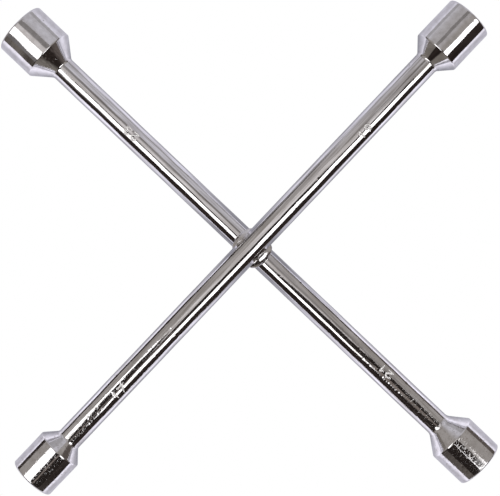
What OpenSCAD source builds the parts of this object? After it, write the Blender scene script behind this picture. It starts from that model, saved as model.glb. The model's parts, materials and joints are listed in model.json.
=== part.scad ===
// Four-way cross lug wrench: two crossed round bars welded together, with a hex socket on each end.
// The front bar lies along X with the 19 mm socket at +X and the 17 mm socket at -X.
// The rear bar lies under it along Y with the 23 mm socket at +Y and the 21 mm socket at -Y.
// The origin is where the bars cross in plan, halfway up the wrench's overall height.

/* [Bars] */
// Diameter of both round bars
bar_d = 14; // [13:0.5:16]
// Height between the two bars' centre lines, less than bar_d because they are pressed together
bar_lift = 12; // [10.5:0.25:12.5]

/* [Reach from the crossing to each socket mouth] */
// Reach of the 17 mm arm
reach_17 = 176; // [150:1:220]
// Reach of the 19 mm arm
reach_19 = 175; // [150:1:220]
// Reach of the 21 mm arm
reach_21 = 177; // [150:1:220]
// Reach of the 23 mm arm
reach_23 = 179; // [150:1:220]

/* [Socket outside diameters] */
// Outside diameter of the 17 mm socket
od_17 = 26.6; // [25:0.2:30]
// Outside diameter of the 19 mm socket
od_19 = 27.8; // [27:0.2:32]
// Outside diameter of the 21 mm socket
od_21 = 29.4; // [29:0.2:34]
// Outside diameter of the 23 mm socket
od_23 = 31.2; // [31:0.2:36]

/* [Socket barrel lengths, mouth to shoulder] */
// Barrel of the 17 mm socket
barrel_17 = 22.5; // [20:0.5:30]
// Barrel of the 19 mm socket
barrel_19 = 26.5; // [20:0.5:30]
// Barrel of the 21 mm socket
barrel_21 = 22; // [20:0.5:30]
// Barrel of the 23 mm socket
barrel_23 = 22.5; // [20:0.5:30]

/* [Socket taper angles, from the bar's centre line] */
// Taper of the 17 mm socket
taper_17 = 42; // [32:1:46]
// Taper of the 19 mm socket
taper_19 = 42; // [32:1:46]
// Taper of the 21 mm socket
taper_21 = 37; // [32:1:46]
// Taper of the 23 mm socket
taper_23 = 39; // [32:1:46]

/* [Socket shape] */
// Extra width across the flats over the nominal nut size
hex_clearance = 0.25; // [0.1:0.05:0.5]
// Radius on the outer edge of the mouth
rim_round = 1; // [0.6:0.1:1.2]
// Radius where the barrel turns into the taper
shoulder_round = 1.5; // [1:0.5:6]
// Depth of the round stud relief behind the hex
relief_depth = 4.5; // [3:0.5:6]
// Depth of the cone at the relief's bottom
relief_point = 2; // [1:0.5:3]
// Thickness of the steel between the relief's point and the bar's end
web = 1.7; // [1.5:0.1:3]
// Diameter of the spigot turned on each bar end
spigot_d = 10; // [8:0.5:11]
// Length of that spigot inside the socket's neck
spigot_len = 5; // [4:0.5:6]

/* [Welds] */
// Height of the neck weld above the bar
neck_lip = 1.2; // [0.8:0.1:1.6]
// Length of the neck weld along the bar
neck_weld_len = 2.4; // [1.5:0.1:3]
// Length of the centre weld along the front bar
collar_x = 16.8; // [16:0.2:20]
// Length of the centre weld along the rear bar
collar_y = 19.4; // [16:0.2:22]
// Thickness of the centre weld
collar_t = 9; // [7:0.5:10]
// Chamfer across the centre weld's corners in plan
collar_chamfer = 2.8; // [1:0.2:3.6]

/* [Size marks] */
// Height of the stamped numerals
mark_h = 3.9; // [3.5:0.1:5.5]
// Width of a numeral
mark_w = 3.5; // [2.5:0.1:3.5]
// Width of a stamped stroke
mark_stroke = 0.7; // [0.5:0.1:0.9]
// Depth of the stamping
mark_depth = 0.35; // [0.2:0.05:0.6]
// Distance of the 17 mark from the crossing
mark_at_17 = 107.5; // [40:0.5:120]
// Distance of the 19 mark from the crossing
mark_at_19 = 89; // [40:0.5:120]
// Distance of the 21 mark from the crossing
mark_at_21 = 102; // [40:0.5:120]
// Distance of the 23 mark from the crossing
mark_at_23 = 92; // [40:0.5:120]
// Turn of the 17 mark round its bar, from the top towards the numerals' feet
mark_turn_17 = 18; // [0:1:25]
// Turn of the 19 mark, in the same sense
mark_turn_19 = 12; // [0:1:25]
// Turn of the 21 mark, in the same sense
mark_turn_21 = 12; // [0:1:25]
// Turn of the 23 mark, in the same sense
mark_turn_23 = 0; // [0:1:25]

/* [Hidden] */
$fn = 96;
chrome = [0.80, 0.80, 0.82];
weld_chrome = [0.70, 0.70, 0.72];
bar_r = bar_d / 2;
neck_r = bar_r + neck_lip;
arc_steps = 10;         // segments in a rounded profile corner
weld_toe = 0.1;         // height of the neck weld's outer edge above the bar
overcut = 1;            // how far a cutting shape runs past the surface it opens
chamfer_lip = 0.2;      // how far the lead-in chamfer clears the hex's corners at the mouth
spigot_bevel = 0.5;     // bevel on the end of a spigot

// Height of each bar's centre line, which puts the overall height's middle at zero
overall_h = bar_lift + max(od_17, od_19) / 2 + max(od_21, od_23) / 2;
front_z = (overall_h - max(od_17, od_19)) / 2;
rear_z = front_z - bar_lift;

// Direction of each arm from the crossing, in degrees about Z
toward_19 = 0;
toward_23 = 90;
toward_17 = 180;
toward_21 = 270;

// Length of a socket's taper, from the shoulder to the neck face
function taper_len(od, taper) = (od / 2 - neck_r) / tan(taper);
function socket_len(od, barrel, taper) = barrel + taper_len(od, taper);
function bar_end(reach, od, barrel, taper) = reach - socket_len(od, barrel, taper);

end_17 = bar_end(reach_17, od_17, barrel_17, taper_17);
end_19 = bar_end(reach_19, od_19, barrel_19, taper_19);
end_21 = bar_end(reach_21, od_21, barrel_21, taper_21);
end_23 = bar_end(reach_23, od_23, barrel_23, taper_23);

// Points on an arc about c, from angle a0 to a1
function arc(c, r, a0, a1, steps = arc_steps) =
    [for (i = [0 : steps]) let (a = a0 + (a1 - a0) * i / steps) c + r * [cos(a), sin(a)]];

// ---- Placing -------------------------------------------------------------------------------

// Turns a shape built along +Z so that it points out along an arm, with its zero at a distance out
module on_arm(toward, height, out) {
    translate([0, 0, height])
        rotate([0, 0, toward])
            translate([out, 0, 0])
                rotate([0, 90, 0])
                    children();
}

module front_arm(toward, out) {
    on_arm(toward, front_z, out) children();
}

module rear_arm(toward, out) {
    on_arm(toward, rear_z, out) children();
}

// ---- Sockets -------------------------------------------------------------------------------

// Outer outline from the axis at the neck face to the axis at the mouth: radius, height
function socket_outline(od, barrel, taper) =
    let (r = od / 2,
         // The shoulder arc touches the barrel at 0 degrees and the taper at minus its angle
         cut = shoulder_round * tan(taper / 2))
    concat(
        [[0, -socket_len(od, barrel, taper)], [neck_r, -socket_len(od, barrel, taper)]],
        arc([r - shoulder_round, cut - barrel], shoulder_round, -taper, 0),
        arc([r - rim_round, -rim_round], rim_round, 0, 90),
        [[0, 0]]);

// Hex pocket with a chamfered mouth, the round stud relief behind it and the relief's cone
module nut_pocket(across_flats, depth) {
    corner_r = across_flats / 2 / cos(30);
    relief_r = across_flats / 2 - 0.6;
    mouth_r = corner_r + chamfer_lip;
    translate([0, 0, -depth])
        cylinder(h = depth + overcut, r = corner_r, $fn = 6);
    translate([0, 0, -mouth_r])
        cylinder(h = mouth_r + overcut, r1 = 0, r2 = mouth_r + overcut);
    translate([0, 0, -depth - relief_depth])
        cylinder(h = relief_depth + overcut, r = relief_r);
    translate([0, 0, -depth - relief_depth - relief_point])
        cylinder(h = relief_point, r1 = 0, r2 = relief_r);
}

// One socket along +Z with its mouth at zero
module socket(size, od, barrel, taper) {
    length = socket_len(od, barrel, taper);
    hex_depth = length - relief_depth - relief_point - web - spigot_len;
    color(chrome)
        difference() {
            rotate_extrude()
                polygon(socket_outline(od, barrel, taper));
            nut_pocket(size + hex_clearance, hex_depth);
            translate([0, 0, -length - overcut])
                cylinder(h = spigot_len + overcut, d = spigot_d);
        }
}

module socket_17() {
    front_arm(toward_17, reach_17) socket(17, od_17, barrel_17, taper_17);
}

module socket_19() {
    front_arm(toward_19, reach_19) socket(19, od_19, barrel_19, taper_19);
}

module socket_21() {
    rear_arm(toward_21, reach_21) socket(21, od_21, barrel_21, taper_21);
}

module socket_23() {
    rear_arm(toward_23, reach_23) socket(23, od_23, barrel_23, taper_23);
}

// ---- Size marks ----------------------------------------------------------------------------

// Each numeral is a list of stroke paths in a box one unit wide and one unit high
function bow(c, r, a0, a1) = [for (p = arc([0, 0], 1, a0, a1, 8)) c + [r.x * p.x, r.y * p.y]];

function numeral(n) =
    n == 1 ? [[[0.2, 0.75], [0.55, 1], [0.55, 0]]]
    : n == 2 ? [concat(bow([0.5, 0.7], [0.45, 0.3], 160, -30), [[0.05, 0], [1, 0]])]
    : n == 3 ? [bow([0.45, 0.76], [0.42, 0.24], 150, -90), bow([0.45, 0.26], [0.48, 0.26], 90, -150)]
    : n == 7 ? [[[0, 1], [1, 1], [0.35, 0]]]
    : [bow([0.5, 0.68], [0.45, 0.32], 20, 340), [[0.95, 0.8], [0.9, 0.35], [0.35, 0]]];

// Unit vector square to the path at point i, stretched so that the stroke keeps its width
function mitre(path, i) =
    let (last = len(path) - 1,
         before = path[max(i - 1, 0)],
         after = path[min(i + 1, last)],
         d0 = i == 0 ? after - path[0] : path[i] - before,
         d1 = i == last ? path[i] - before : after - path[i],
         n0 = [-d0.y, d0.x] / norm(d0),
         n1 = [-d1.y, d1.x] / norm(d1))
    (n0 + n1) / (1 + n0 * n1);

// A flat stroke of constant width along a path
module stroke(path, width) {
    last = len(path) - 1;
    left = [for (i = [0 : last]) path[i] + mitre(path, i) * width / 2];
    right = [for (i = [last : -1 : 0]) path[i] - mitre(path, i) * width / 2];
    polygon(concat(left, right));
}

module numeral_strokes(n) {
    for (path = numeral(n))
        stroke([for (p = path) [p.x * mark_w, (p.y - 0.5) * mark_h]], mark_stroke);
}

// A two-figure mark as a thin curved skin round a bar that lies along +X. It reads towards +X, and
// its turn goes from the top towards -Y.
module size_mark(number, at, turn) {
    pitch = mark_w * 1.45;
    figures = [floor(number / 10), number % 10];
    translate([at, 0, 0])
        rotate([turn, 0, 0])
            intersection() {
                for (i = [0, 1])
                    translate([i * pitch - (pitch + mark_w) / 2, 0, 0])
                        linear_extrude(height = bar_r + overcut)
                            numeral_strokes(figures[i]);
                rotate([0, 90, 0])
                    difference() {
                        cylinder(h = 6 * mark_w, r = bar_r + overcut, center = true);
                        cylinder(h = 7 * mark_w, r = bar_r - mark_depth, center = true);
                    }
            }
}

// ---- Bars ----------------------------------------------------------------------------------

// A bar along +X with a spigot on each end, from minus low to plus high
module plain_bar(low, high) {
    spigot_r = spigot_d / 2;
    bevel_r = spigot_r - spigot_bevel;
    rotate([0, 90, 0])
        rotate_extrude()
            polygon([
                [0, -low - spigot_len],
                [bevel_r, -low - spigot_len],
                [spigot_r, -low - spigot_len + spigot_bevel],
                [spigot_r, -low],
                [bar_r, -low],
                [bar_r, high],
                [spigot_r, high],
                [spigot_r, high + spigot_len - spigot_bevel],
                [bevel_r, high + spigot_len],
                [0, high + spigot_len]]);
}

module front_bar() {
    color(chrome)
        translate([0, 0, front_z])
            difference() {
                plain_bar(end_17, end_19);
                size_mark(17, -mark_at_17, mark_turn_17);
                size_mark(19, mark_at_19, mark_turn_19);
            }
}

// The rear bar runs along Y and has a saddle pressed into it where the front bar sits.
// Its marks read from the 21 end towards the 23 end.
module rear_bar() {
    color(chrome)
        difference() {
            translate([0, 0, rear_z])
                rotate([0, 0, toward_23])
                    difference() {
                        plain_bar(end_21, end_23);
                        size_mark(21, -mark_at_21, mark_turn_21);
                        size_mark(23, mark_at_23, mark_turn_23);
                    }
            bar_space(front_z, toward_19);
        }
}

// The round space that a bar fills near the crossing
module bar_space(height, toward) {
    on_arm(toward, height, 0)
        cylinder(h = 4 * bar_d, r = bar_r, center = true);
}

// ---- Welds ---------------------------------------------------------------------------------

// A hollow fillet of weld metal between the bar and the socket's neck face, which is at zero
module neck_weld() {
    hollow = [for (a = [0 : 90 / arc_steps : 90]) [1 - sin(a), 1 - cos(a)]];
    color(weld_chrome)
        rotate_extrude()
            polygon(concat(
                [[bar_r, -neck_weld_len], [bar_r, 0]],
                [for (p = hollow)
                    [bar_r + weld_toe + (neck_lip - weld_toe) * p.x, -neck_weld_len * p.y]]));
}

module neck_weld_17() {
    front_arm(toward_17, end_17) neck_weld();
}

module neck_weld_19() {
    front_arm(toward_19, end_19) neck_weld();
}

module neck_weld_21() {
    rear_arm(toward_21, end_21) neck_weld();
}

module neck_weld_23() {
    rear_arm(toward_23, end_23) neck_weld();
}

// The collar of metal squeezed out around the crossing, between the two bars
module centre_weld() {
    color(weld_chrome)
        difference() {
            translate([0, 0, (front_z + rear_z) / 2])
                linear_extrude(height = collar_t, center = true)
                    chamfered_outline(collar_x / 2, collar_y / 2, collar_chamfer);
            bar_space(front_z, toward_19);
            bar_space(rear_z, toward_23);
        }
}

// A rectangle of half sizes x and y with its corners cut off at 45 degrees
module chamfered_outline(x, y, cut) {
    polygon([
        [x, y - cut], [x - cut, y], [cut - x, y], [-x, y - cut],
        [-x, cut - y], [cut - x, -y], [x - cut, -y], [x, cut - y]]);
}

front_bar();
rear_bar();
socket_17();
socket_19();
socket_21();
socket_23();
neck_weld_17();
neck_weld_19();
neck_weld_21();
neck_weld_23();
centre_weld();
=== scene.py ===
"""Looks for the four-way cross lug wrench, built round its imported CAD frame.

The wrench is chrome all over, so it looks like whatever it mirrors: the second half of this file is
the studio that it mirrors. Lengths are in metres.

Each bar has its own space: x runs along it towards its high end, z is up, y completes the frame, and
zero is where its centre line passes the crossing. An arm's space is the same with x pointing out.
"""

import json
import math

import bpy
import numpy as np
from mathutils import Matrix, Vector

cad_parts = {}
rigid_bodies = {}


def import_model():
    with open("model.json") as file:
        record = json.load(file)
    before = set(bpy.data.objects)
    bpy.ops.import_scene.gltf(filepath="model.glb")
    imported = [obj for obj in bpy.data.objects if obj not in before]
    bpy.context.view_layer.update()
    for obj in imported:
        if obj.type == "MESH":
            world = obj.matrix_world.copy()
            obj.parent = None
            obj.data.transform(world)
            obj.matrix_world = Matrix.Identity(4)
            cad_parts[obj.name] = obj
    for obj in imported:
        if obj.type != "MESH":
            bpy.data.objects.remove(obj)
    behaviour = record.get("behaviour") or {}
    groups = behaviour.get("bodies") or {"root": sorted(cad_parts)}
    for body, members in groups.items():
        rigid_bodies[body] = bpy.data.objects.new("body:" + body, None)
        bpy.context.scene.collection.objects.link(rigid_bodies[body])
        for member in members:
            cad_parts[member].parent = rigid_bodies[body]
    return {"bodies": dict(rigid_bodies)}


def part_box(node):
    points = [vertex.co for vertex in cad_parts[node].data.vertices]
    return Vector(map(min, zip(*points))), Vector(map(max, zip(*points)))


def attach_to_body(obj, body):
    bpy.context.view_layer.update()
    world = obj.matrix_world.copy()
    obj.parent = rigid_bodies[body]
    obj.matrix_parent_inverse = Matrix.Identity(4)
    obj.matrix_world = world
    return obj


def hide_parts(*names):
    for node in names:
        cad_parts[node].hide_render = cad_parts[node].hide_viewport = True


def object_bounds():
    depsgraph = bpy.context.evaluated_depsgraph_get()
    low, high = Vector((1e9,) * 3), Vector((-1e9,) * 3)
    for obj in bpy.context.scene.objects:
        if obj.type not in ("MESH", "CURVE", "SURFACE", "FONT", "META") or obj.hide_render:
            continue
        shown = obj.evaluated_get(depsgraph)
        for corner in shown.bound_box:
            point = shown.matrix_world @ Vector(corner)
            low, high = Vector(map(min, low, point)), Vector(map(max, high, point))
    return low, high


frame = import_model()
cad_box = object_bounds()
(only_body,) = frame["bodies"]      # nothing on the wrench moves

MM = 0.001

# ---- Sizes that the frame's boxes don't give -------------------------------------------------------

RIM_ROUND = 1.0 * MM            # outer edge of a socket's mouth
LIP_ROUND = 0.25 * MM           # edge between the mouth's face and its lead-in chamfer
HEX_CLEARANCE = 0.25 * MM       # over the nominal nut size, across the flats
HEX_CORNER_ROUND = 0.25 * MM    # how far the hex's corners are rounded back
CHAMFER_LIP = 0.2 * MM          # how far the lead-in chamfer clears the hex's corners
RELIEF_STEP = 0.6 * MM          # the stud relief is this much smaller in radius than the flats
RELIEF_DEPTH = 4.5 * MM
RELIEF_POINT = 2.0 * MM
WEB = 1.7 * MM                  # steel between the relief's point and the bar's end
SPIGOT_RADIUS = 5.0 * MM
SPIGOT_LENGTH = 5.0 * MM

MARK_HEIGHT = 3.9 * MM
MARK_WIDTH = 3.5 * MM
MARK_PITCH = 1.45 * MARK_WIDTH
MARK_STROKE = 0.4 * MM          # half the width of a groove, shoulder to shoulder
MARK_DEPTH = 0.12 * MM
MARK_BURR = 0.03 * MM           # height of the metal pushed up beside a groove
BURR_PLACE = 1.15 * MARK_STROKE
BURR_SPREAD = 0.4 * MARK_STROKE

PIT_RADII = (0.25, 0.55)        # smallest and largest radius of a rust pit, in millimetres
DENT_REACH = 2.5                # dents are flat past this many radii
PIT_STEEPNESS = 0.08            # depth of a pit as a share of its radius
KNOCK_STEEPNESS = 0.55          # and of a knock
HOLLOW_STEEPNESS = 0.2          # and of a hollow in a rusted patch
RUSTY_PART = -60 * MM           # each bar is rusted most on the low side of this place
RUSTY_BAR_PITS = 420
CLEAN_BAR_PITS = 120
RUSTY_SOCKETS = (17, 21)
RUSTY_SOCKET_PITS = 90
CLEAN_SOCKET_PITS = 25
HOLLOW_SOCKET = 23
CONE_HOLLOWS = 80
CONE_HOLLOW_SEED = 24
CONE_HOLLOW_START = 1.5 * MM    # how far past the neck they begin
CONE_HOLLOW_SPREAD = 0.14       # the share of a full turn that they cover, at the top

# Dents in known places: place along the bar or arm, turn from the top, radius
KNOCK_19_BAR = (132.5 * MM, math.radians(54), 0.65 * MM)
PIT_23_SOCKET = (170 * MM, math.radians(-49), 0.55 * MM)

# Waves left in a round surface: their height, lobes round the axis, range of wavelengths in millimetres
ROLLED = (0.012 * MM, (0, 1, 1, 2, 2, 3, 4), (14, 60))
FORGED = (0.02 * MM, (2, 3, 3, 4, 5), (12, 40))

BAR_RINGS = 560
MARK_RINGS = 80                 # more rings over each mark
END_FADE = 8 * MM               # wear fades out over this length before a neck
CROSSING_FADE = (10 * MM, 20 * MM)
NECK_FADE = 3 * MM
MOUTH_FADE = 1.5 * MM
OUTLINE_STEP = 0.5 * MM         # between the rings of a socket

# Each bar's marks: number, place along the bar, degrees round the bar towards the numerals' feet
MARKS = {
    "front_bar": ((17, -107.5 * MM, 18), (19, 89 * MM, 12)),
    "rear_bar": ((21, -102 * MM, 12), (23, 92 * MM, 0)),
}


def placed(points, along, height):
    """Points of a bar's or an arm's own space, as an array of rows, in the shared frame."""
    side = Vector((0, 0, 1)).cross(along)
    return points @ np.array([along, side, (0, 0, 1)]) + np.array((0, 0, height))


class Bar:
    """A bar's direction and size, read from the frame."""

    def __init__(self, node, along):
        low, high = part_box(node)
        self.node = node
        self.along = Vector(along)
        self.height = (low.z + high.z) / 2
        self.radius = (high.z - low.z) / 2


class Arm:
    """One arm and its socket. Distances along it run out from the crossing.

    The taper is the angle between the socket's cone and the axis, in degrees.
    """

    def __init__(self, size, bar, sign, taper, shoulder_round, neck_round):
        self.size = size
        self.bar = bar
        self.out = sign * bar.along
        low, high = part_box(f"socket_{size}")
        self.neck, self.mouth = sorted((low.dot(self.out), high.dot(self.out)))
        self.radius = (high.z - low.z) / 2
        weld_low, weld_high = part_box(f"neck_weld_{size}")
        self.neck_radius = (weld_high.z - weld_low.z) / 2
        self.slope = math.tan(math.radians(taper))
        self.foot = self.neck - (self.neck_radius - bar.radius) / self.slope
        self.shoulder = self.neck + (self.radius - self.neck_radius) / self.slope
        self.shoulder_round = shoulder_round
        self.neck_round = neck_round


FRONT = Bar("front_bar", (1, 0, 0))
REAR = Bar("rear_bar", (0, 1, 0))
ARMS = (
    Arm(17, FRONT, -1, 42, 1.3 * MM, 2.4 * MM),
    Arm(19, FRONT, 1, 42, 1.3 * MM, 2.4 * MM),
    Arm(21, REAR, -1, 37, 1.6 * MM, 5 * MM),
    Arm(23, REAR, 1, 39, 1.3 * MM, 2.4 * MM),
)
ARM_REACH = min(arm.mouth for arm in ARMS)      # of the shortest arm


# ---- Mesh building ---------------------------------------------------------------------------------

def rounded_path(corners, turn_step=math.radians(6)):
    """Points along straight lines whose corners are rounded. A corner is (x, r, radius)."""
    points = [np.array(corners[0][:2])]
    for before, here, after in zip(corners, corners[1:], corners[2:]):
        corner = np.array(here[:2])
        back = np.array(before[:2]) - corner
        ahead = np.array(after[:2]) - corner
        back /= np.linalg.norm(back)
        ahead /= np.linalg.norm(ahead)
        half = math.acos(np.clip(back @ ahead, -1, 1)) / 2
        turn = math.pi - 2 * half
        middle = (back + ahead) / np.linalg.norm(back + ahead)
        centre = corner + middle * here[2] / math.sin(half)
        first = corner + back * here[2] / math.tan(half) - centre
        last = corner + ahead * here[2] / math.tan(half) - centre
        steps = max(2, math.ceil(turn / turn_step))
        for share in np.linspace(0, 1, steps + 1):
            arc = first * math.sin((1 - share) * turn) + last * math.sin(share * turn)
            points.append(centre + arc / math.sin(turn))
    points.append(np.array(corners[-1][:2]))
    return np.array(points)


def refined(points, step, guard=0.1 * MM):
    """The same path with long stretches split, and a point close to each end of a long stretch."""
    made = [points[0]]
    for start, end in zip(points, points[1:]):
        length = np.linalg.norm(end - start)
        if length > 4 * guard:
            shares = np.linspace(guard / length, 1 - guard / length, max(2, math.ceil(length / step)))
            made.extend(start + (end - start) * share for share in shares)
        made.append(end)
    return np.array(made)


def ring(x, radius, angles):
    """A ring round the x axis; x and radius are numbers or one value per angle."""
    across = radius * np.sin(angles)
    up = radius * np.cos(angles)
    return np.stack([np.broadcast_to(x, angles.shape), across, up], axis=-1)


def skin(name, rings, joined=False):
    """A closed mesh through rings of points. Its ends meet each other if joined, or close to a point."""
    rings = np.asarray(rings)
    rows, columns, _ = rings.shape
    points = rings.reshape(-1, 3)
    index = np.arange(rows * columns).reshape(rows, columns)
    beside = np.roll(index, -1, axis=1)
    last = rows if joined else rows - 1
    following = np.roll(index, -1, axis=0)
    quads = np.stack([index, beside, np.roll(beside, -1, axis=0), following], axis=-1)[:last]
    faces = quads.reshape(-1, 4).tolist()
    if not joined:
        poles = [rings[0].mean(axis=0), rings[-1].mean(axis=0)]
        points = np.vstack([points, poles])
        start, end = rows * columns, rows * columns + 1
        faces += [[start, b, a] for a, b in zip(index[0].tolist(), beside[0].tolist())]
        faces += [[end, a, b] for a, b in zip(index[-1].tolist(), beside[-1].tolist())]
    return mesh_object(name, points, faces)


def mesh_object(name, points, faces):
    """A smooth-shaded object whose faces look outwards."""
    mesh = bpy.data.meshes.new(name)
    mesh.from_pydata(points.tolist(), [], faces)
    mesh.validate()
    if enclosed_volume(mesh) < 0:
        mesh.flip_normals()
    mesh.shade_smooth()
    made = bpy.data.objects.new(name, mesh)
    bpy.context.scene.collection.objects.link(made)
    return made


def enclosed_volume(mesh):
    """The volume inside a mesh, below zero if its faces look inwards."""
    mesh.calc_loop_triangles()
    corners = np.empty(len(mesh.loop_triangles) * 3, np.int32)
    mesh.loop_triangles.foreach_get("vertices", corners)
    points = np.empty(len(mesh.vertices) * 3, np.float32)
    mesh.vertices.foreach_get("co", points)
    a, b, c = points.reshape(-1, 3)[corners].reshape(-1, 3, 3).swapaxes(0, 1)
    return float(np.einsum("ij,ij->i", a, np.cross(b, c)).sum() / 6)


def attach(piece, name, values):
    """Gives each point of a skin a value that its material reads."""
    attribute = piece.data.attributes.new(name, "FLOAT", "POINT")
    padded = np.zeros(len(piece.data.vertices), np.float32)
    padded[: values.size] = values.ravel()
    attribute.data.foreach_set("value", padded)


def finish_piece(piece, material, slot, *nodes):
    """Gives a piece its material, puts it on the body that it rides on and hides the CAD parts that it
    stands for.
    """
    piece.data.materials.append(material)
    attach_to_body(piece, only_body)
    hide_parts(*nodes)


def smooth_step(low, high, value):
    """Rises from 0 to 1 as the value goes from low to high."""
    share = np.clip((value - low) / (high - low), 0, 1)
    return share * share * (3 - 2 * share)


# ---- Size marks ------------------------------------------------------------------------------------

def bow(centre, radii, start, end, steps=8):
    """Points on part of an ellipse, as a list."""
    angles = np.radians(np.linspace(start, end, steps + 1))
    return [(centre[0] + radii[0] * math.cos(a), centre[1] + radii[1] * math.sin(a)) for a in angles]


# Stroke paths in a box one unit wide and one unit high
NUMERALS = {
    1: [[(0.2, 0.75), (0.55, 1), (0.55, 0)]],
    2: [bow((0.5, 0.7), (0.45, 0.3), 160, -30) + [(0.05, 0), (1, 0)]],
    3: [bow((0.45, 0.76), (0.42, 0.24), 150, -90), bow((0.45, 0.26), (0.48, 0.26), 90, -150)],
    7: [[(0, 1), (1, 1), (0.35, 0)]],
    9: [bow((0.5, 0.68), (0.45, 0.32), 0, 360), [(0.95, 0.7), (0.9, 0.35), (0.35, 0)]],
}


def distance_to_strokes(number, u, v):
    """Distance from points (u, v) to the two numerals of a mark that is centred on zero."""
    nearest = np.full(u.shape, 1.0)
    for place, figure in enumerate(divmod(number, 10)):
        left = (place - 0.5) * MARK_PITCH - MARK_WIDTH / 2
        for path in NUMERALS[figure]:
            points = [(left + x * MARK_WIDTH, (y - 0.5) * MARK_HEIGHT) for x, y in path]
            for (u0, v0), (u1, v1) in zip(points, points[1:]):
                du, dv = u1 - u0, v1 - v0
                share = np.clip(((u - u0) * du + (v - v0) * dv) / (du * du + dv * dv), 0, 1)
                nearest = np.minimum(nearest, np.hypot(u - u0 - share * du, v - v0 - share * dv))
    return nearest


def stamped(bar, x, angles):
    """How far a bar's surface stands proud because of its marks, which is mostly below zero."""
    proud = np.zeros(x.shape)
    for number, place, turn in MARKS[bar.node]:
        v = (angles + math.radians(turn)) * bar.radius
        near = (abs(x - place) < 1.6 * MARK_PITCH) & (abs(v) < MARK_HEIGHT)
        gap = distance_to_strokes(number, x[near] - place, v[near])
        proud[near] -= MARK_DEPTH * (1 - smooth_step(0, MARK_STROKE, gap))
        proud[near] += MARK_BURR * np.exp(-((gap - BURR_PLACE) / BURR_SPREAD) ** 2)
    return proud


# ---- Wear ------------------------------------------------------------------------------------------

def scattered(seed, count, low, high):
    """Small rust pits spread at random between two places along a round surface: place, angle, radius."""
    random = np.random.default_rng(seed)
    places = random.uniform(low, high, count)
    turns = random.uniform(-math.pi, math.pi, count)
    return list(zip(places, turns, random.uniform(*PIT_RADII, count) * MM))


def dented(x, angles, radius, dents, steepness=PIT_STEEPNESS):
    """How far dents lower a round surface; x and the angles have a row for each ring."""
    lowered = np.zeros(x.shape)
    for place, turn, size in dents:
        rows = np.abs(x[:, 0] - place) < DENT_REACH * size
        round_by = (angles[rows] - turn + math.pi) % (2 * math.pi) - math.pi
        gap = np.hypot(x[rows] - place, radius * round_by)
        lowered[rows] += steepness * size * np.exp(-(gap / size) ** 2)
    return lowered


def wavy(x, angles, seed, height, lobe_counts, wavelengths):
    """The slight waves that rolling, forging and polishing leave in a round surface."""
    random = np.random.default_rng(seed)
    waves = np.zeros(x.shape)
    for lobes in lobe_counts:
        wavelength = random.uniform(*wavelengths) * MM
        phase = random.uniform(0, 2 * math.pi)
        waves += height * np.cos(2 * math.pi * x / wavelength + lobes * angles + phase)
    return waves / 2


# ---- Bars ------------------------------------------------------------------------------------------

def bar_rows(bar, low_end, high_end):
    """Places along a bar where its mesh has rings, closest together where it is stamped."""
    places = [np.linspace(low_end, high_end, BAR_RINGS)]
    for _, place, _ in MARKS[bar.node]:
        half = 1.1 * MARK_PITCH
        places.append(np.linspace(place - half, place + half, MARK_RINGS))
    return np.unique(np.concatenate(places))


def bar_angles():
    """Angles round a bar from its top, closest together where the marks are."""
    fine_from, fine_to = -44, 28
    fine = np.arange(fine_from, fine_to, 1.0)
    coarse = np.arange(fine_to, fine_from + 360, 3.0)
    return np.radians(np.concatenate([fine, coarse]))


def build_bar(bar, low_arm, high_arm, material, seed):
    """A bar from neck to neck, with its marks and wear, and a spigot at each end."""
    low_end, high_end = -low_arm.neck, high_arm.neck
    angles = bar_angles()
    turned = (angles + math.pi) % (2 * math.pi) - math.pi
    places = bar_rows(bar, low_end, high_end)
    x, a = np.meshgrid(places, turned, indexing="ij")
    fade = smooth_step(0, END_FADE, np.minimum(x - low_end, high_end - x))
    fade = fade * smooth_step(*CROSSING_FADE, abs(x))
    radius = bar.radius + wavy(x, a, seed, *ROLLED) * fade + stamped(bar, x, a)
    pits = scattered(seed, RUSTY_BAR_PITS, low_end, RUSTY_PART)
    pits += scattered(seed + 1, CLEAN_BAR_PITS, RUSTY_PART, high_end)
    radius -= fade * dented(x, a, bar.radius, pits)
    if bar is FRONT:
        radius -= dented(x, a, bar.radius, [KNOCK_19_BAR], KNOCK_STEEPNESS)
    rings = [ring(low_end - SPIGOT_LENGTH, SPIGOT_RADIUS, angles), ring(low_end, SPIGOT_RADIUS, angles)]
    rings += [ring(place, row, angles) for place, row in zip(places, radius)]
    rings += [ring(high_end, SPIGOT_RADIUS, angles), ring(high_end + SPIGOT_LENGTH, SPIGOT_RADIUS, angles)]
    points = placed(np.array(rings), bar.along, bar.height)
    if bar is REAR:
        press_saddle(points)
    piece = skin(f"{bar.node}_steel", points)
    # The first two and the last two rings belong to the spigots
    struck = np.zeros(points.shape[:2])
    struck[2:-2] = np.clip(-2 * stamped(bar, x, a) / MARK_DEPTH, 0, 1)
    attach(piece, "stamped", struck)
    finish_piece(piece, material, "bar_chrome", bar.node)


def press_saddle(points):
    """The rear bar gives way where the front bar lies in it."""
    y = points[..., 1]
    under = abs(y) < FRONT.radius
    floor = FRONT.height - np.sqrt(np.where(under, FRONT.radius ** 2 - y ** 2, 0))
    points[..., 2] = np.where(under, np.minimum(points[..., 2], floor), points[..., 2])


# ---- Sockets and neck welds ------------------------------------------------------------------------

SOCKET_ANGLES = np.radians(np.arange(0, 360, 2))
SHARP_EDGE = math.radians(40)


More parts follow.
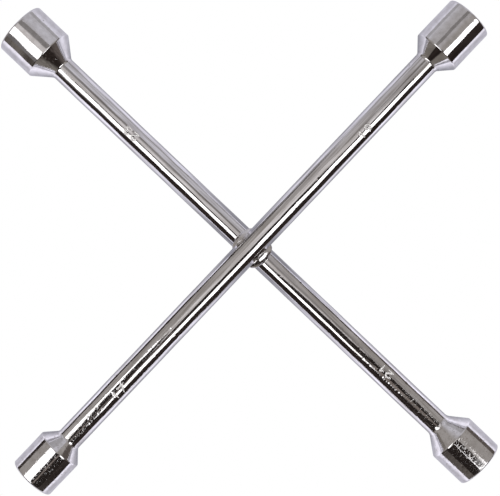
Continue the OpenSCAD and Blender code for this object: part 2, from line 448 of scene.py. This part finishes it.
def arm_outline(arm):
    """The outside of an arm from the bar to the mouth's inner edge: distance out, radius."""
    corners = [
        (arm.foot - 3 * arm.neck_round, arm.bar.radius, 0),
        (arm.foot, arm.bar.radius, arm.neck_round),
        (arm.shoulder, arm.radius, arm.shoulder_round),
        (arm.mouth, arm.radius, RIM_ROUND),
        (arm.mouth, lip_radius(arm), LIP_ROUND),
        (arm.mouth - 4 * LIP_ROUND, lip_radius(arm) - 4 * LIP_ROUND, 0),
    ]
    return refined(rounded_path(corners), OUTLINE_STEP)[:-1]


def neck_outline(arm):
    """The first half of that outline, where it only rises, and its radius where bar and socket meet."""
    outline = arm_outline(arm)
    rising = outline[: len(outline) // 2]
    return rising, np.interp(arm.neck, rising[:, 0], rising[:, 1])


def across_flats(arm):
    """The width of a socket's hexagon between opposite faces."""
    return arm.size * MM + HEX_CLEARANCE


def lip_radius(arm):
    """The pocket's radius at the mouth's face, where its lead-in chamfer starts."""
    return across_flats(arm) / 2 / math.cos(math.radians(30)) + CHAMFER_LIP


def hex_radius(arm, angles):
    """Distance from the axis to the hex's wall, with a corner straight up and slightly round corners."""
    from_face = (angles % math.radians(60)) - math.radians(30)
    wall = across_flats(arm) / 2 / np.cos(from_face)
    return np.minimum(wall, lip_radius(arm) - CHAMFER_LIP - HEX_CORNER_ROUND)


def pocket_rings(arm, angles):
    """Rings from the mouth's chamfer in to the stud relief's point."""
    wall = hex_radius(arm, angles)
    relief = np.full(wall.shape, across_flats(arm) / 2 - RELIEF_STEP)
    lip = np.full(wall.shape, lip_radius(arm))
    tip = 0.02
    hex_depth = arm.mouth - arm.neck - RELIEF_DEPTH - RELIEF_POINT - WEB - SPIGOT_LENGTH
    stations = [
        (2 * LIP_ROUND + 0 * wall, lip - 2 * LIP_ROUND),
        (lip - wall, wall),
        (hex_depth + 0 * wall, wall),
        (hex_depth + 0 * wall, relief),
        (hex_depth + RELIEF_DEPTH + 0 * wall, relief),
        (hex_depth + RELIEF_DEPTH + RELIEF_POINT + 0 * wall, tip * relief),
    ]
    rings = []
    for (depth_0, radius_0), (depth_1, radius_1) in zip(stations, stations[1:]):
        for share in (0.03, 0.35, 0.65, 0.97, 1):
            depth = depth_0 + (depth_1 - depth_0) * share
            radius = radius_0 + (radius_1 - radius_0) * share
            rings.append(ring(arm.mouth - depth, radius, angles))
    return rings


def socket_wear(arm, x, angles):
    """How far wear lowers the outside of a socket; x and the angles have a row for each ring."""
    count = RUSTY_SOCKET_PITS if arm.size in RUSTY_SOCKETS else CLEAN_SOCKET_PITS
    pits = scattered(arm.size, count, arm.neck, arm.mouth)
    lowered = dented(x, angles, arm.radius, pits) - wavy(x, angles, arm.size, *FORGED)
    if arm.size == HOLLOW_SOCKET:
        hollows = scattered(CONE_HOLLOW_SEED, CONE_HOLLOWS, arm.neck + CONE_HOLLOW_START, arm.shoulder)
        hollows = [(place, turn * CONE_HOLLOW_SPREAD, size) for place, turn, size in hollows]
        lowered += dented(x, angles, arm.radius, [PIT_23_SOCKET], KNOCK_STEEPNESS)
        lowered += dented(x, angles, arm.radius, hollows, HOLLOW_STEEPNESS)
    inward = smooth_step(0, NECK_FADE, x - arm.neck) * smooth_step(0, MOUTH_FADE, arm.mouth - x)
    return inward * lowered


def build_socket(arm, material):
    """A socket's cone, barrel and pocket, and the bore behind it that the bar's spigot fills."""
    outline = arm_outline(arm)
    outside = outline[outline[:, 0] > arm.neck]
    turned = (SOCKET_ANGLES + math.pi) % (2 * math.pi) - math.pi
    x, a = np.meshgrid(outside[:, 0], turned, indexing="ij")
    radius = outside[:, 1:] - socket_wear(arm, x, a)
    rings = [
        ring(arm.neck + SPIGOT_LENGTH, SPIGOT_RADIUS, SOCKET_ANGLES),
        ring(arm.neck, SPIGOT_RADIUS, SOCKET_ANGLES),
        ring(arm.neck, neck_outline(arm)[1], SOCKET_ANGLES),
    ]
    rings += [ring(place, row, SOCKET_ANGLES) for place, row in zip(outside[:, 0], radius)]
    rings += pocket_rings(arm, SOCKET_ANGLES)
    piece = skin(f"socket_{arm.size}_steel", placed(np.array(rings), arm.out, arm.bar.height))
    piece.data.set_sharp_from_angle(angle=SHARP_EDGE)
    finish_piece(piece, material, "socket_chrome", f"socket_{arm.size}")


def build_neck_weld(arm, material):
    """The hollow fillet between bar and socket, closed underneath just below the bar's surface."""
    rising, edge = neck_outline(arm)
    toe = arm.foot - arm.neck_round * math.tan(math.atan(arm.slope) / 2)
    outside = rising[(rising[:, 0] >= toe) & (rising[:, 0] < arm.neck)]
    inner = arm.bar.radius - 0.1 * MM
    profile = [*outside, (arm.neck, edge), (arm.neck, inner), (toe, inner)]
    rings = [ring(x, radius, SOCKET_ANGLES) for x, radius in profile]
    points = placed(np.array(rings), arm.out, arm.bar.height)
    piece = skin(f"neck_weld_{arm.size}_bead", points, joined=True)
    piece.data.set_sharp_from_angle(angle=SHARP_EDGE)
    finish_piece(piece, material, "weld_chrome", f"neck_weld_{arm.size}")


# ---- Centre weld -----------------------------------------------------------------------------------

WELD_SHIFT = -0.7 * MM      # the flash came out further towards the 21 mm end
WELD_CHAMFER = 2.8 * MM
WELD_RISE = 1.9 * MM        # how far the crowned flange stands above a bar at its middle
WELD_CROWN = 14 * MM        # radius of the crown across a bar
WELD_FLAT = 6 * MM          # where the flange starts to round off along a bar
WELD_BEAD = 6 * MM          # radius of that rounding
WELD_ROUND = 0.7 * MM
WELD_FILLET = 0.8 * MM
WELD_ROOT = 0.3 * MM        # how far the weld reaches into the bars
WELD_SINK = 0.01 * MM       # how far below a bar's surface the weld's edge lies
WELD_GRID = 0.25 * MM
WELD_SPARE = 0.3 * MM       # how much wider the weld is than in the CAD, before its edges are rounded
weld_low, weld_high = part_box("centre_weld")
WELD_HALF_X = (weld_high.x - weld_low.x) / 2 + WELD_SPARE
WELD_HALF_Y = (weld_high.y - weld_low.y) / 2 + WELD_SPARE


def smooth_min(a, b, reach):
    """The smaller value, rounded off where the two differ by less than the reach."""
    overlap = np.maximum(reach - np.abs(a - b), 0) / reach
    return np.minimum(a, b) - overlap ** 2 * reach / 4


def smooth_max(*values):
    """The largest value, rounded off where two of them come close."""
    made = values[0]
    for value in values[1:]:
        made = -smooth_min(-made, -value, WELD_ROUND)
    return made


def fall(side, out):
    """How far the flange has fallen off from its crown, sideways of a bar and out along it."""
    return side ** 2 / (2 * WELD_CROWN) + np.maximum(out - WELD_FLAT, 0) ** 2 / (2 * WELD_BEAD)


def weld_field(points):
    """Below zero inside the centre weld: a flange blended into both bars, less the bars themselves."""
    x, y, z = np.moveaxis(points, -1, 0)
    front = np.hypot(y, z - FRONT.height) - FRONT.radius
    rear = np.hypot(x, z - REAR.height) - REAR.radius
    bars = np.minimum(front, rear)
    across, along = abs(x), abs(y - WELD_SHIFT)
    rear_top = REAR.height + REAR.radius + WELD_RISE - fall(across, along)
    front_bottom = FRONT.height - FRONT.radius - WELD_RISE + fall(along, across)
    corner = (across + along - WELD_HALF_X - WELD_HALF_Y + WELD_CHAMFER) / math.sqrt(2)
    flange = smooth_max(across - WELD_HALF_X, along - WELD_HALF_Y, corner, z - rear_top, front_bottom - z)
    joined = smooth_min(bars, flange, WELD_FILLET)
    sides = np.maximum(across - WELD_HALF_X, along - WELD_HALF_Y)
    ends = np.maximum(z - FRONT.height, REAR.height - z)
    reach = np.maximum(sides, ends) - WELD_FILLET
    return np.maximum(np.maximum(joined + WELD_SINK, -bars - WELD_ROOT), reach)


def surface_net(field, origin, step):
    """Points and quads round the region where a grid of values is below zero."""
    cells = tuple(n - 1 for n in field.shape)
    total = np.zeros((np.prod(cells), 3))
    count = np.zeros(np.prod(cells))
    quads = []
    for axis in range(3):
        first = np.take(field, range(field.shape[axis] - 1), axis)
        second = np.take(field, range(1, field.shape[axis]), axis)
        crossing = np.argwhere((first < 0) != (second < 0))
        a = first[tuple(crossing.T)]
        b = second[tuple(crossing.T)]
        place = crossing.astype(float)
        place[:, axis] += a / (a - b)
        u, v = np.eye(3, dtype=int)[[(axis + 1) % 3, (axis + 2) % 3]]
        around = [np.ravel_multi_index((crossing - shift).T, cells) for shift in (0 * u, u, u + v, v)]
        for cell in around:
            np.add.at(total, cell, place)
            np.add.at(count, cell, 1)
        quad = np.stack(around, axis=-1)
        quads.append(np.where((a < 0)[:, None], quad, quad[:, ::-1]))
    used = np.flatnonzero(count)
    renumbered = np.zeros(len(count), int)
    renumbered[used] = np.arange(len(used))
    points = origin + step * total[used] / count[used, None]
    return points, renumbered[np.vstack(quads)]


def settle(points, field, steps=3, probe=0.01 * MM, least=0.25):
    """Moves points on to the surface where the field is zero. The squared slope counts as least or more."""
    for _ in range(steps):
        slope = np.stack(
            [(field(points + probe * e) - field(points - probe * e)) / (2 * probe) for e in np.eye(3)],
            axis=-1)
        steepness = np.maximum((slope ** 2).sum(axis=-1), least)
        points = points - (field(points) / steepness)[:, None] * slope
    return points


def build_centre_weld(material):
    """The collar of metal that was squeezed out round the crossing."""
    margin = 2 * WELD_FILLET
    low = np.array((-WELD_HALF_X, WELD_SHIFT - WELD_HALF_Y, REAR.height)) - margin
    high = np.array((WELD_HALF_X, WELD_SHIFT + WELD_HALF_Y, FRONT.height)) + margin
    axes = [np.arange(a, b, WELD_GRID) for a, b in zip(low, high)]
    grid = np.stack(np.meshgrid(*axes, indexing="ij"), axis=-1)
    points, quads = surface_net(weld_field(grid), low, WELD_GRID)
    piece = mesh_object("centre_weld_bead", settle(points, weld_field), quads.tolist())
    finish_piece(piece, material, "weld_chrome", "centre_weld")


# ---- Materials -------------------------------------------------------------------------------------

def node(tree, kind, inputs=None, **settings):
    """A shader node; each input is a value or another node's output."""
    made = tree.nodes.new(kind)
    for name, value in settings.items():
        setattr(made, name, value)
    for name, value in (inputs or {}).items():
        if isinstance(value, bpy.types.NodeSocket):
            tree.links.new(value, made.inputs[name])
        else:
            made.inputs[name].default_value = value
    return made


def noise(tree, place, scale, detail=3.0, stretch=(1, 1, 1)):
    """Noise between 0 and 1 with features of about 1/scale metres, stretched along the axes."""
    mapped = node(tree, "ShaderNodeMapping", {"Vector": place, "Scale": stretch})
    made = node(tree, "ShaderNodeTexNoise", {
        "Vector": mapped.outputs["Vector"], "Scale": scale, "Detail": detail, "Roughness": 0.55})
    return made.outputs["Fac"]


def mapped_range(tree, value, low, high, new_low=0, new_high=1):
    """The value mapped from one range to another and kept inside it."""
    made = node(tree, "ShaderNodeMapRange", {
        "Value": value, "From Min": low, "From Max": high, "To Min": new_low, "To Max": new_high})
    return made.outputs["Result"]


def bumped(tree, height, distance, normal=None):
    """A normal tilted by a height from 0 to 1, which stands for the distance in metres."""
    inputs = {"Height": height, "Distance": distance, "Strength": 1.0}
    if normal is not None:
        inputs["Normal"] = normal
    return node(tree, "ShaderNodeBump", inputs).outputs["Normal"]


# Noise scales, in features per metre
HAZE_SCALE = 60
PEEL_SCALE = 420
PIT_SCALE = 900
LINE_SCALE = 1500

# Heights in metres
PEEL_HEIGHT = 7e-6
PIT_HEIGHT = -13e-6

# Ranges of noise that the plate's tint, pits and haze are drawn from, and of the depth of a mark
TINT_RANGE = (0.36, 0.64)
PIT_RANGE = (0.58, 0.7)
HAZE_RANGE = (0.3, 0.7)
STAMPED_RANGE = (0, 0.7)

LEAST_WORN_FROM = -0.05
MOST_WORN_FROM = -0.13
LEAST_WORN = 0.25

DARK_PLATE = (0.52, 0.50, 0.49, 1)
BRIGHT_PLATE = (0.86, 0.85, 0.87, 1)
PITTED_PLATE = (0.30, 0.26, 0.23, 1)
# Painted highlight: the stamped grooves get a near-white, barely metallic colour so that the marks read
# light
STAMPED_GROOVE_HIGHLIGHT = (0.97, 0.96, 0.94, 1)
HAZE_DULLS = 1.7            # haze makes the plate up to this many times as rough
PIT_STAIN = 0.5
PIT_ROUGHNESS = 0.15
STAMPED_ROUGHNESS = 0.6
STAMPED_METALLIC = 0.1


def chrome(name, stretch, roughness=0.045, lines=13e-6, grain=900, mottle=1.0):
    """Bright chrome plate over drawn or forged steel.

    Its fine lines are as high as lines says, in metres, and drawn out along the stretch. Its brightness
    varies by the mottle, in grains of the grain's scale. It is pitted most towards the 17 and 21 mm ends,
    which lie at the most negative x and y.
    """
    material = bpy.data.materials.new(name)
    material.use_nodes = True
    tree = material.node_tree
    tree.nodes.clear()
    place = node(tree, "ShaderNodeTexCoord").outputs["Object"]
    parts = node(tree, "ShaderNodeSeparateXYZ", {"Vector": place})
    end = combined(tree, "MINIMUM", parts.outputs["X"], parts.outputs["Y"])
    worn = mapped_range(tree, end, LEAST_WORN_FROM, MOST_WORN_FROM, LEAST_WORN, 1.0)

    haze = noise(tree, place, HAZE_SCALE)
    tint = noise(tree, place, grain, detail=4, stretch=stretch)
    tint = mapped_range(tree, tint, *TINT_RANGE, 0.5 - mottle / 2, 0.5 + mottle / 2)
    line_height = noise(tree, place, LINE_SCALE, stretch=stretch)
    peel_height = noise(tree, place, PEEL_SCALE)
    spots = mapped_range(tree, noise(tree, place, PIT_SCALE, detail=2), *PIT_RANGE)
    pits = combined(tree, "MULTIPLY", spots, worn)
    stamped_in = node(tree, "ShaderNodeAttribute", attribute_name="stamped").outputs["Fac"]

    normal = bumped(tree, peel_height, PEEL_HEIGHT)
    normal = bumped(tree, line_height, lines, normal)
    normal = bumped(tree, pits, PIT_HEIGHT, normal)
    plate = mixed(tree, tint, DARK_PLATE, BRIGHT_PLATE)
    plate = mixed(tree, combined(tree, "MULTIPLY", pits, PIT_STAIN), plate, PITTED_PLATE)
    # The stamped grooves are painted near white: a painted highlight
    plate = mixed(tree, mapped_range(tree, stamped_in, *STAMPED_RANGE), plate, STAMPED_GROOVE_HIGHLIGHT)
    metallic = mapped_range(tree, stamped_in, *STAMPED_RANGE, 1, STAMPED_METALLIC)
    dull = mapped_range(tree, haze, *HAZE_RANGE, roughness, HAZE_DULLS * roughness)
    dull = combined(tree, "ADD", dull, combined(tree, "MULTIPLY", pits, PIT_ROUGHNESS))
    dull = combined(tree, "ADD", dull, combined(tree, "MULTIPLY", stamped_in, STAMPED_ROUGHNESS))
    surface = node(tree, "ShaderNodeBsdfPrincipled", {
        "Base Color": plate, "Metallic": metallic, "Roughness": dull, "Normal": normal})
    node(tree, "ShaderNodeOutputMaterial", {"Surface": surface.outputs["BSDF"]})
    return material


# ---- Studio ----------------------------------------------------------------------------------------

# The picture's right-hand direction in the shared frame, as an angle from +X
PICTURE_RIGHT = math.radians(-46.5)
STUDIO = Matrix.Rotation(PICTURE_RIGHT, 4, "Z")

# Heights of the cards over the wrench
CEILING = 1.5
BELOW_CEILING = CEILING - 0.01
LIGHT = 0.82
PHOTOGRAPHER = 0.8
CAMERA_BACK = 0.79

WHITE = (1, 1, 1, 1)
LIGHT_STRENGTH = 2.4
WARM_GREY = (0.40, 0.375, 0.355, 1)
COOL_GREY = (0.62, 0.61, 0.65, 1)
LAMP_GREY = (0.27, 0.255, 0.25, 1)
SIDE_GREY = (0.2, 0.19, 0.19, 1)
JACKET_GREY = (0.24, 0.205, 0.185, 1)
HANDS_GREY = (0.72, 0.69, 0.68, 1)
SHADOW = (0.022, 0.017, 0.015, 1)

# Ranges of x and y over which the ceiling turns cool and the paper turns pale
COOL_CEILING = ((0, 1.3), (-0.15, 0.15))
PALE_PAPER = ((0, 0.1), (0, 0.1))

# Outlines in studio metres: x to the picture's right, y to its top
CEILING_EDGE = [(-6.5, -2.6), (-0.8, -0.2), (0.9, -0.1), (5.2, 0.0), (5.2, 5.2), (-6.5, 5.2)]
SIDE_WALL = [(-1.25, -0.55), (-1.6, -1.15), (-2.2, -1.45), (-2.9, -1.5), (-2.9, -0.8), (-2.0, -0.5)]
CEILING_LAMP = [
    (-0.3, 0.55), (0.2, 0.62), (0.5, 0.45), (0.75, 0.2), (1.0, 0.4), (0.75, 0.8), (0.3, 1.05), (-0.25, 0.9)]
SOFT_LIGHT = [
    (-0.45, 0.2), (-0.66, 0.2), (-0.87, -0.1), (-0.9, -0.44), (-0.58, -0.55), (-0.42, -0.69), (-0.1, -0.82),
    (0.34, -0.76), (0.5, -0.67), (0.74, -0.69), (0.83, -0.56), (0.9, -0.42), (0.95, -0.1), (0.8, 0.0),
    (0.51, 0.0), (0.13, -0.4), (0.0, -0.1), (-0.3, 0.08)]
FIGURE = [
    (-0.42, 0.07), (-0.31, -0.08), (-0.25, -0.18), (-0.22, -0.29), (-0.17, -0.36), (-0.18, -0.53),
    (-0.34, -0.66), (-0.6, -0.95), (-0.6, -1.2), (0.6, -1.2), (0.24, -0.62), (0.12, -0.44), (0.1, -0.36),
    (0.13, -0.29), (0.21, -0.2), (0.3, -0.09), (0.42, -0.03), (0.3, 0.1)]
JACKET = [(0.06, -0.22), (-0.22, -0.53), (-0.16, -0.6), (0.13, -0.3)]
CAMERA_HANDS = [
    (-0.36, 0.16), (-0.22, 0.02), (-0.13, -0.06), (-0.08, -0.16), (-0.05, -0.09), (0.02, -0.06),
    (0.07, -0.03), (0.1, 0.02), (0.22, -0.03), (0.3, 0.05), (0.16, 0.16), (-0.08, 0.3), (-0.3, 0.36)]
PAPER_EDGE = [
    (-2.0, -2.0), (1.9, -2.0), (0.17, -0.26), (0.32, -0.1), (0.95, -0.47), (2.0, -0.9), (2.0, -0.4),
    (0.34, 0.0), (0.38, 0.2), (1.5, 2.0), (-0.46, 2.0),
    (-0.46, 0.38), (-0.2, 0.11), (-0.25, 0.05), (-0.41, 0.12), (-0.6, -0.1), (-2.0, -0.4)]
BEAM = [(-3.1, 2.9), (-2.7, 3.3), (-4.2, 4.8), (-4.6, 4.1)]


def card(name, height, outline):
    """A flat card that is only seen mirrored; returns its material's empty node tree."""
    points = [STUDIO @ Vector((x, y, height)) for x, y in outline]
    mesh = bpy.data.meshes.new(name)
    mesh.from_pydata(points, [], [list(range(len(points)))])
    made = bpy.data.objects.new(name, mesh)
    bpy.context.scene.collection.objects.link(made)
    made.visible_camera = False
    made.visible_shadow = False
    return fresh_material(mesh, name)


def fresh_material(mesh, name):
    """The empty node tree of a mesh's new material."""
    material = bpy.data.materials.new(name)
    material.use_nodes = True
    material.node_tree.nodes.clear()
    mesh.materials.append(material)
    return material.node_tree


def glow(tree, colour, strength=1.0):
    """Makes a material give off one colour, whatever the light."""
    light = node(tree, "ShaderNodeEmission", {"Color": colour, "Strength": strength})
    node(tree, "ShaderNodeOutputMaterial", {"Surface": light.outputs["Emission"]})


def mixed(tree, share, first, second):
    """A blend of two colours: the first where the share is 0, the second where it is 1."""
    # Inputs 6 and 7 and output 2 are the ones that hold colours
    made = node(tree, "ShaderNodeMix", {"Factor": share, 6: first, 7: second}, data_type="RGBA")
    return made.outputs[2]


def combined(tree, operation, *values):
    """The result of a Math node, such as ADD or MINIMUM."""
    return node(tree, "ShaderNodeMath", dict(enumerate(values)), operation=operation).outputs["Value"]


def far_side(tree, place, x_range, y_range):
    """1 where both x and y are past their ranges, and 0 where either hasn't reached its own."""
    parts = node(tree, "ShaderNodeSeparateXYZ", {"Vector": place})
    along_x = mapped_range(tree, parts.outputs["X"], *x_range)
    along_y = mapped_range(tree, parts.outputs["Y"], *y_range)
    return combined(tree, "MULTIPLY", along_x, along_y)


def build_cards():
    """What hangs over the wrench: ceiling, lamp, beam, wall, one light and a dark figure with a camera."""
    tree = card("ceiling", CEILING, CEILING_EDGE)
    place = node(tree, "ShaderNodeNewGeometry").outputs["Position"]
    glow(tree, mixed(tree, far_side(tree, place, *COOL_CEILING), WARM_GREY, COOL_GREY))
    glow(card("ceiling_lamp", BELOW_CEILING, CEILING_LAMP), LAMP_GREY)
    glow(card("beam", BELOW_CEILING, BEAM), SHADOW)
    glow(card("side_wall", CEILING, SIDE_WALL), SIDE_GREY)
    glow(card("soft_light", LIGHT, SOFT_LIGHT), WHITE, LIGHT_STRENGTH)
    glow(card("photographer", PHOTOGRAPHER, FIGURE), SHADOW)
    glow(card("jacket", CAMERA_BACK, JACKET), JACKET_GREY)
    glow(card("camera_and_hands", CAMERA_BACK, CAMERA_HANDS), HANDS_GREY)


ROOM_BLACK = (0.0, 0.0, 0.0, 1)
ROOM_BROWN = (0.06, 0.045, 0.04, 1)
ROOM_SCALE = 7              # of the noise between those two

# The paler walls: the ranges of a direction's x and y over which each one fades in, and its colour
WALLS = (
    ((0.2, 0.5), (0.0, -0.2), (0.13, 0.11, 0.10, 1)),
    ((-0.2, -0.5), (0.18, 0.24), (0.22, 0.2, 0.18, 1)),
    ((-0.2, -0.5), (-0.18, -0.26), (0.22, 0.2, 0.18, 1)),
    ((-0.02, 0.1), (-0.06, 0.02), (0.46, 0.45, 0.47, 1)),
)


def build_world():
    """A dark room with some paler walls, and pure white to the camera."""
    world = bpy.data.worlds.new("room")
    bpy.context.scene.world = world
    world.use_nodes = True
    tree = world.node_tree
    tree.nodes.clear()
    direction = node(tree, "ShaderNodeTexCoord").outputs["Generated"]
    room = mixed(tree, noise(tree, direction, ROOM_SCALE), ROOM_BLACK, ROOM_BROWN)
    for x_range, y_range, colour in WALLS:
        room = mixed(tree, far_side(tree, direction, x_range, y_range), room, colour)
    seen = node(tree, "ShaderNodeLightPath").outputs["Is Camera Ray"]
    background = node(tree, "ShaderNodeBackground", {"Color": mixed(tree, seen, room, WHITE)})
    node(tree, "ShaderNodeOutputWorld", {"Surface": background.outputs["Background"]})


HIGH_BAR_SHARE = 0.6                    # the higher bar's distances count for this much
PAPER_SHADE = (0.013, 0.054)            # distances from an arm where the shade is full and gone
SOCKET_SHADE_OUT = (0.145, 0.17)        # distances out from the crossing where the sockets' shade sets in
SOCKET_SHADE_AWAY = (0.13, 0.06)        # distances from an arm where that shade is gone and full
# Colours that the paper glows with, and the wrench's shadow painted on it close to the arms and the sockets
PAPER_BRIGHT = (1.22, 1.2, 1.34, 1)
PAPER_PALE = (0.84, 0.83, 0.93, 1)      # between the 19 and the 23 mm arm
PAPER_SHADOW_BY_ARMS = (0.37, 0.37, 0.42, 1)
PAPER_SHADOW_BY_SOCKETS = (0.66, 0.65, 0.73, 1)


def distance_from_arms(tree, place):
    """Roughly how far a place on the floor lies from the nearest arm. The higher bar counts as closer."""
    parts = node(tree, "ShaderNodeSeparateXYZ", {"Vector": place})
    from_x = combined(tree, "ABSOLUTE", parts.outputs["X"])
    from_y = combined(tree, "ABSOLUTE", parts.outputs["Y"])
    past_ends = combined(tree, "SUBTRACT", combined(tree, "MAXIMUM", from_x, from_y), ARM_REACH)
    nearest = combined(tree, "MINIMUM", from_x, combined(tree, "MULTIPLY", from_y, HIGH_BAR_SHARE))
    return combined(tree, "MAXIMUM", nearest, past_ends)


def socket_shade(tree, place, away):
    """1 near the sockets and 0 far from them."""
    unsigned = node(tree, "ShaderNodeVectorMath", {0: place}, operation="ABSOLUTE")
    parts = node(tree, "ShaderNodeSeparateXYZ", {"Vector": unsigned.outputs["Vector"]})
    outward = combined(tree, "MAXIMUM", parts.outputs["X"], parts.outputs["Y"])
    far_out = mapped_range(tree, outward, *SOCKET_SHADE_OUT)
    return combined(tree, "MULTIPLY", far_out, mapped_range(tree, away, *SOCKET_SHADE_AWAY))


def build_paper():
    """The sheet that the wrench lies on, as the chrome mirrors it: pale, and shaded close to the wrench."""
    tree = card("paper", cad_box[0].z, PAPER_EDGE)
    place = node(tree, "ShaderNodeNewGeometry").outputs["Position"]
    pale = mixed(tree, far_side(tree, place, *PALE_PAPER), PAPER_BRIGHT, PAPER_PALE)
    away = distance_from_arms(tree, place)
    # The wrench's shadow is painted on: darker close to the arms, and close to the sockets
    shaded = mixed(tree, mapped_range(tree, away, *PAPER_SHADE), PAPER_SHADOW_BY_ARMS, pale)
    glow(tree, mixed(tree, socket_shade(tree, place, away), shaded, PAPER_SHADOW_BY_SOCKETS))


FLOOR_HALF = 6.0
FLOOR_SHADE_REACH = 0.03
FLOOR_SHADED = (0.7, 0.7, 0.73, 1)
STEEP_VIEW = 0.97                       # upward part of the direction to a camera that sees no shade
SLANTED_VIEW = 0.7                      # and to one that sees all of it


def build_floor():
    """What the camera sees of the floor: white from above, softly shaded by the wrench from the side."""
    signs = ((-1, -1), (1, -1), (1, 1), (-1, 1))
    corners = [(x * FLOOR_HALF, y * FLOOR_HALF, cad_box[0].z) for x, y in signs]
    mesh = bpy.data.meshes.new("floor")
    mesh.from_pydata(corners, [], [[0, 1, 2, 3]])
    floor = bpy.data.objects.new("floor", mesh)
    bpy.context.scene.collection.objects.link(floor)
    floor.visible_glossy = False
    floor.visible_diffuse = False
    tree = fresh_material(mesh, "pale_floor")
    geometry = node(tree, "ShaderNodeNewGeometry")
    away = distance_from_arms(tree, geometry.outputs["Position"])
    upward = node(tree, "ShaderNodeSeparateXYZ", {"Vector": geometry.outputs["Incoming"]}).outputs["Z"]
    slanted = mapped_range(tree, upward, STEEP_VIEW, SLANTED_VIEW)
    shade = combined(tree, "MULTIPLY", mapped_range(tree, away, FLOOR_SHADE_REACH, 0), slanted)
    white = node(tree, "ShaderNodeEmission", {"Color": mixed(tree, shade, WHITE, FLOOR_SHADED)})
    clear = node(tree, "ShaderNodeBsdfTransparent")
    surface = node(tree, "ShaderNodeMixShader", {
        "Fac": geometry.outputs["Backfacing"], 1: white.outputs["Emission"], 2: clear.outputs["BSDF"]})
    node(tree, "ShaderNodeOutputMaterial", {"Surface": surface.outputs["Shader"]})


CAMERA_PLACE = (-0.75 * MM, 0.2 * MM, 0.76)
FOCAL_LENGTH = 98.1                     # in millimetres, on a sensor as wide as a full frame
SENSOR_WIDTH = 36.0


def build_camera():
    """Straight above the crossing, turned so that the arms point to the picture's corners."""
    lens = bpy.data.cameras.new("camera")
    lens.lens = FOCAL_LENGTH
    lens.sensor_width = SENSOR_WIDTH
    camera = bpy.data.objects.new("camera", lens)
    bpy.context.scene.collection.objects.link(camera)
    camera.matrix_world = Matrix.Translation(CAMERA_PLACE) @ STUDIO
    bpy.context.scene.camera = camera


# ---- The scene -------------------------------------------------------------------------------------

front_chrome = chrome("front_bar_chrome", stretch=(0.05, 1, 1))
rear_chrome = chrome("rear_bar_chrome", stretch=(1, 0.05, 1))
socket_chrome = chrome("socket_chrome", stretch=(1, 1, 1), lines=4e-6, grain=300, mottle=0.4)
weld_chrome = chrome("weld_chrome", stretch=(1, 1, 1), roughness=0.07, grain=500, mottle=0.6)

arm_17, arm_19, arm_21, arm_23 = ARMS
build_bar(FRONT, arm_17, arm_19, front_chrome, seed=1)
build_bar(REAR, arm_21, arm_23, rear_chrome, seed=2)
for arm in ARMS:
    build_socket(arm, socket_chrome)
    build_neck_weld(arm, weld_chrome)
build_centre_weld(weld_chrome)

build_cards()
build_world()
build_paper()
build_floor()
build_camera()
bpy.context.scene.view_settings.view_transform = "Standard"
